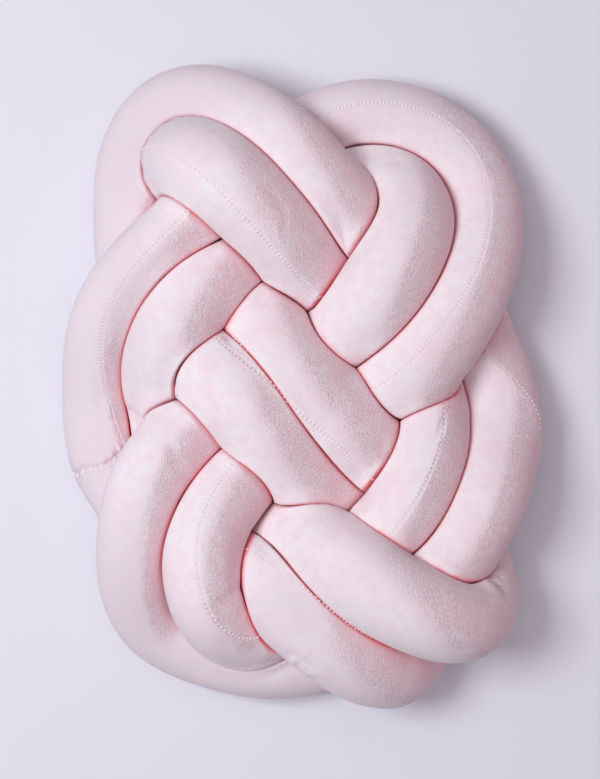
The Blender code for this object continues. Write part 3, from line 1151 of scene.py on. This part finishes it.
def raised(tree, shader, height, strength, distance):
    """Relief of a surface, from its height."""
    relief = tree.nodes.new("ShaderNodeBump")
    relief.inputs["Strength"].default_value = strength
    relief.inputs["Distance"].default_value = distance
    tree.links.new(height, relief.inputs["Height"])
    tree.links.new(relief.outputs["Normal"], shader.inputs["Normal"])


def new_material(name, settings):
    """A material with its node tree and shader, and numbers or colours set on the shader itself."""
    material = bpy.data.materials.new(name)
    material.use_nodes = True
    tree = material.node_tree
    shader = tree.nodes["Principled BSDF"]
    for socket, value in settings.items():
        shader.inputs[socket].default_value = value
    return material, tree, shader


print("helpers for nodes are ready")

# %% Body colour of the velvet
VELVET_PALE = (0.862, 0.797, 0.848, 1.0)
# the deep pink that the drift reaches at random, and the nap reaches partly as painted shade
VELVET_DEEP = (0.94, 0.54, 0.61, 1.0)
VELVET_CREASE_LIGHT = (0.96, 0.93, 0.96, 1.0)      # painted light, deep in a crease on the side that faces the window
# a greyer pink, reached at random with the mottle, and as painted shade at the rim, near the joint and at two
# spots
VELVET_MOTTLE_AND_SHADE = (0.765, 0.67, 0.725, 1.0)
DRIFT = (0.40, 0.70, 0.0, 0.22)             # a range of noise, and the strength at either end of it
MOTTLE = (0.42, 0.64)
MOTTLE_DEEPENS = 0.12
# how far the nap deepens the pink: the roots of the pile, and painted shade
NAP_DEEPENS = 0.62
LIT_CREASE_SIDE = (0.0, 0.2, 0.5, 0.0)                # a range of the nap, and the strength at either end of it
MOTTLE_RUBS = 0.3
RIM_WITH_MOTTLE = 0.8


def body_colour(tree, drift, patches, nap_and_shade, crease, greyer_shade):
    """Pale pink, deepened by drift and by the nap (partly painted shade), greyed by mottle and painted shade.
    """
    mottle = remapped(tree, patches, *MOTTLE)
    drifting = math_node(tree, "MULTIPLY_ADD", mottle, MOTTLE_DEEPENS, remapped(tree, drift, *DRIFT))
    deep_tone_and_shade = math_node(tree, "MULTIPLY_ADD", nap_and_shade, NAP_DEEPENS, drifting)
    colour = mixed_colour(tree, deep_tone_and_shade, VELVET_PALE, VELVET_DEEP)
    # paler deep in a crease on the side that faces the window: painted light, against the shade there
    colour = mixed_colour(tree, product(tree, crease, remapped(tree, nap_and_shade, *LIT_CREASE_SIDE)), colour, VELVET_CREASE_LIGHT)
    # greyer with the mottle, and with painted shade at the rim, near the joint and at two spots
    mottle_and_shade = math_node(tree, "MULTIPLY_ADD", mottle, MOTTLE_RUBS, product(tree, greyer_shade, RIM_WITH_MOTTLE))
    return mixed_colour(tree, math_node(tree, "MAXIMUM", mottle_and_shade, greyer_shade), colour, VELVET_MOTTLE_AND_SHADE)


print("velvet from", VELVET_PALE[:3], "to", VELVET_DEEP[:3])

# %% Grain of the pile
# roots and tips of the tufts, partly painted shade and painted highlight where the light grazes the pile
VELVET_ROOT = (0.84, 0.46, 0.56, 1.0)
VELVET_TIP = (1.0, 0.88, 0.935, 1.0)
TUFTS_START = (0.02, 0.32)                  # ranges of the nap over which tufts come and go
TUFTS_FADE = (0.35, 0.95, 1.0, 0.5)
ROOTS = (0.36, 0.48, 0.42, 0.0)             # ranges of the noise, and the strength at either end
TIPS = (0.51, 0.62, 0.0, 0.9)
FROST = (0.47, 0.66, 0.0, 0.55)


def tufts_and_grazing_light(tree, nap_and_shade, crease):
    """Where tufts stand apart and catch grazing light: part way down the brushed side away from the window,
    not in a crease.
    """
    open_side = math_node(tree, "SUBTRACT", 1.0, math_node(tree, "POWER", crease, 2.0))
    return product(tree, remapped(tree, nap_and_shade, *TUFTS_START), remapped(tree, nap_and_shade, *TUFTS_FADE), open_side)


def with_grain(tree, colour, speckle, patches, grazed_tufts):
    """Dark roots between pale tips, and frosted patches: pile colour, partly painted shade and painted
    highlight.
    """
    layers = ((speckle, ROOTS, VELVET_ROOT), (speckle, TIPS, VELVET_TIP), (patches, FROST, VELVET_TIP))
    for noise, strength, tint in layers:
        colour = mixed_colour(tree, product(tree, remapped(tree, noise, *strength), grazed_tufts), colour, tint)
    return colour


print("grain from", VELVET_ROOT[:3], "to", VELVET_TIP[:3])

# %% Rose of the creases
# painted light and shade in the creases: a rose glow for light bounced between pink walls, a deep red for the
# shade in them
VELVET_GLOW = (0.86, 0.44, 0.49, 1.0)
VELVET_CREASE = (0.90, 0.16, 0.19, 1.0)
GLOW_SIDE = (0.0, 0.5, 0.0, 1.0)            # a range of the nap, and the strength at either end of it
GLOW = 0.42
DEPTH_SIDE = (0.0, 0.4, 0.32, 1.0)
DEPTH_POWER = 10.0
DEPTH = 0.8
LINE_POWER = 18.0
LINE = 0.62
HOLES = 0.2


def with_creases(tree, colour, nap_and_shade, crease, holes):
    """Painted light and shade, and needle holes: a wide glow beside a crease, a deep rose in it, a thin line
    where two passes meet.
    """
    glow = product(tree, crease, remapped(tree, nap_and_shade, *GLOW_SIDE), GLOW)
    deep = math_node(tree, "POWER", crease, DEPTH_POWER)
    deep = product(tree, deep, remapped(tree, nap_and_shade, *DEPTH_SIDE), DEPTH)
    line = product(tree, math_node(tree, "POWER", crease, LINE_POWER), LINE)
    colour = mixed_colour(tree, glow, colour, VELVET_GLOW)
    for strength in (deep, line, product(tree, holes, HOLES)):
        colour = mixed_colour(tree, strength, colour, VELVET_CREASE)
    return colour


print("creases in", VELVET_CREASE[:3])

# %% Sewing along the seam
NEEDLE_WAVE = (0.2, 1.0)                    # the part of a wave that lies between two stitches
SEAM_PUCKER = (0.4 * MM, 2.6 * MM, 1.0, 0.0)
NEEDLE_HOLE = (0.25 * MM, 0.8 * MM, 1.0, 0.0)


def seam_pattern(tree):
    """Masks from the map: puckers beside the seam, and the dots where the needle went in."""
    strand_map = tree.nodes.new("ShaderNodeUVMap")
    strand_map.uv_map = "strand"
    parts = tree.nodes.new("ShaderNodeSeparateXYZ")
    tree.links.new(strand_map.outputs["UV"], parts.inputs[0])
    away = math_node(tree, "ABSOLUTE", parts.outputs["Y"])
    wave = product(tree, parts.outputs["X"], 2.0 * math.pi * seam_count / LENGTH)
    between = remapped(tree, math_node(tree, "COSINE", wave), *NEEDLE_WAVE)
    puckers = product(tree, between, remapped(tree, away, *SEAM_PUCKER))
    return puckers, product(tree, between, remapped(tree, away, *NEEDLE_HOLE))


print(seam_count, "places for a needle hole")

# %% Velvet material
VELVET_SHADER = {
    "Subsurface Weight": 0.1,
    "Subsurface Radius": (1.0, 0.28, 0.34),
    "Subsurface Scale": 6.0 * MM,
    "Sheen Weight": 0.25,
    "Sheen Roughness": 0.22,
    "Sheen Tint": (1.0, 0.93, 0.96, 1.0),
    "Specular IOR Level": 0.25,
}
DRIFT_SCALE = 26.0
PATCH_SCALE = 120.0
SPECKLE_SCALE = 780.0
SHINE = (0.3, 0.7, 0.82, 0.98)              # a range of the drift, and the roughness at either end of it
PUCKER_DEPTH = -0.3
TUFT_HEIGHT = 2.0
PLAIN_HEIGHT = 0.4
DRIFT_HEIGHT = 0.8


def velvet_material():
    """Pink velvet, with its pile, brushed patches, deep creases and needle holes."""
    velvet, tree, shader = new_material("pink_velvet", VELVET_SHADER)
    drift, speckle = dyed(tree, DRIFT_SCALE, SPECKLE_SCALE)
    patches = dyed(tree, PATCH_SCALE, SPECKLE_SCALE)[0]
    crease, nap_and_shade, greyer_shade = (stored(tree, name) for name in ("crease", "nap_and_shade", "greyer_shade"))
    puckers, holes = seam_pattern(tree)
    grazed_tufts = tufts_and_grazing_light(tree, nap_and_shade, crease)

    colour = body_colour(tree, drift, patches, nap_and_shade, crease, greyer_shade)
    colour = with_grain(tree, colour, speckle, patches, grazed_tufts)
    colour = with_creases(tree, colour, nap_and_shade, crease, holes)
    tree.links.new(colour, shader.inputs["Base Color"])
    tree.links.new(remapped(tree, drift, *SHINE), shader.inputs["Roughness"])

    tufts = math_node(tree, "MULTIPLY_ADD", grazed_tufts, TUFT_HEIGHT, PLAIN_HEIGHT)
    grain = math_node(tree, "MULTIPLY_ADD", speckle, tufts, product(tree, puckers, PUCKER_DEPTH))
    height = math_node(tree, "MULTIPLY_ADD", drift, DRIFT_HEIGHT, grain)
    raised(tree, shader, height, strength=0.85, distance=0.9 * MM)
    return velvet


velvet_tube.data.materials.append(velvet_material())
print("velvet on", velvet_tube.name)

# %% [markdown]
# ## Thread
#
# The thread is the same pink a touch paler, tighter and smoother than the velvet, with a faint twist. It
# needs nothing but the shared dye, at a finer scale.

# %% Thread material
THREAD_PALE = (1.0, 0.94, 0.97, 1.0)
THREAD_DEEP = (0.96, 0.85, 0.90, 1.0)
THREAD_SHINE = (0.3, 0.7, 0.6, 0.8)         # a range of the speckle, and the roughness at either end of it
THREAD_DYE = (90.0, 2200.0)                 # scales of its drift and its speckle


def thread_material():
    """Pale twisted thread."""
    thread, tree, shader = new_material("pink_thread", {"Sheen Weight": 0.3})
    drift, speckle = dyed(tree, *THREAD_DYE)
    colour = mixed_colour(tree, drift, THREAD_PALE, THREAD_DEEP)
    tree.links.new(colour, shader.inputs["Base Color"])
    tree.links.new(remapped(tree, speckle, *THREAD_SHINE), shader.inputs["Roughness"])
    raised(tree, shader, speckle, strength=0.5, distance=0.2 * MM)
    return thread


thread = thread_material()
for piece in (seam_stitches, joint_stitches):
    piece.data.materials.append(thread)
    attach(piece, "root")
print("thread on", seam_stitches.name, "and", joint_stitches.name)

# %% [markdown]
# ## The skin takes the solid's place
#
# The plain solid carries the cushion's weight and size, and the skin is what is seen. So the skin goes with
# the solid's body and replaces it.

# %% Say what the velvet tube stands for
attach(velvet_tube, "root")
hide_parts(SOLID_NODE)
print(velvet_tube.name, "replaces", SOLID_NODE)

# %% [markdown]
# ## Floor and light
#
# The cushion lies on a plain pale floor. A square of soft light, high on the left, models its round passes,
# and a wide faint one above with a pale room around it keep the shadows open and pink.

# %% Floor
FLOOR_SIZE = 6.0
FLOOR_COLOUR = (0.78, 0.775, 0.855, 1.0)

bpy.ops.object.select_all(action="DESELECT")
bpy.ops.mesh.primitive_plane_add(size=FLOOR_SIZE, location=(0.0, 0.0, 0.0))
floor = bpy.context.object
floor.name = "floor"
floor.data.materials.append(new_material("pale_floor", {"Base Color": FLOOR_COLOUR, "Roughness": 0.8})[0])
print("floor", FLOOR_SIZE, "m wide")

# %% Light
ROOM_COLOUR = (1.0, 0.89, 0.95, 1.0)
ROOM_STRENGTH = 0.34


def soft_light(name, spot, size, power, colour):
    """A square area light aimed at the cushion."""
    data = bpy.data.lights.new(name, "AREA")
    data.shape = "SQUARE"
    data.size = size
    data.energy = power
    data.color = colour
    lamp = bpy.data.objects.new(name, data)
    lamp.location = spot
    direction = -np.array(spot)
    lamp.rotation_euler = (
        math.acos(-direction[2] / np.linalg.norm(direction)),
        0.0,
        math.atan2(direction[1], direction[0]) - math.pi / 2.0,
    )
    bpy.context.scene.collection.objects.link(lamp)
    return lamp


window = soft_light("window", spot=(-0.96, 0.12, 1.67), size=0.7, power=20.8, colour=(0.94, 0.99, 0.99))
ceiling = soft_light("ceiling", spot=(-0.20, 0.25, 2.3), size=2.2, power=10.0, colour=(1.0, 0.92, 0.97))
world = bpy.data.worlds.new("room")
world.use_nodes = True
world.node_tree.nodes["Background"].inputs["Color"].default_value = ROOM_COLOUR
world.node_tree.nodes["Background"].inputs["Strength"].default_value = ROOM_STRENGTH
bpy.context.scene.world = world
print("lights:", window.name, "and", ceiling.name)
